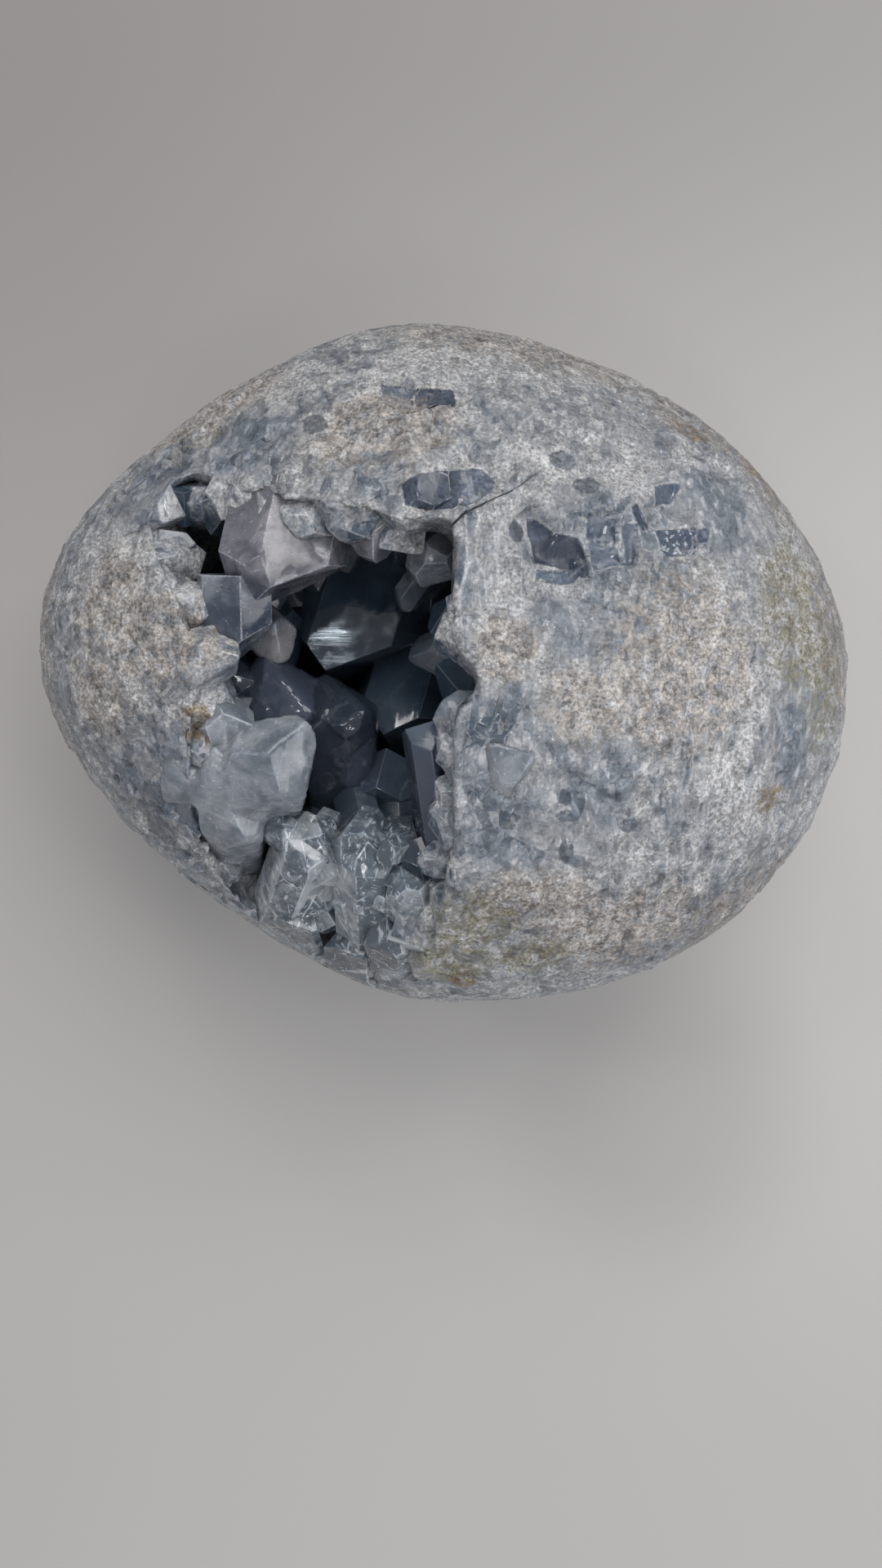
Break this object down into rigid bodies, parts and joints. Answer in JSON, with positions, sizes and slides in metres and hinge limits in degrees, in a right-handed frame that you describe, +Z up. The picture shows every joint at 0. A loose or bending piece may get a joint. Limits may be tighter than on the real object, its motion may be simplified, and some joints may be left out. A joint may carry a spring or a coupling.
{
  "type": "celestite geode",
  "caption": "Rounded stone of massive celestite, broken open on its upper left into a hollow lined with blocky grey-blue crystals, resting on a small flat foot.",
  "frame": {"origin": "on the resting plane, under the centre of the stone's bounding box", "axes": "+X along the stone's longest extent, with the hollow on the -X side; +Z up from the flat foot"},
  "size_m": [0.1214, 0.1024, 0.0839],
  "materials": {
    "massive_celestite": "fine-grained, pale blue-grey and white, with tan patches",
    "celestite_crystal": "clear to milky grey-blue crystal, glossy faces"
  },
  "bodies": {
    "root": {"geode_shell": "massive_celestite", "crystal_crust": "celestite_crystal"}
  },
  "joints": []
}
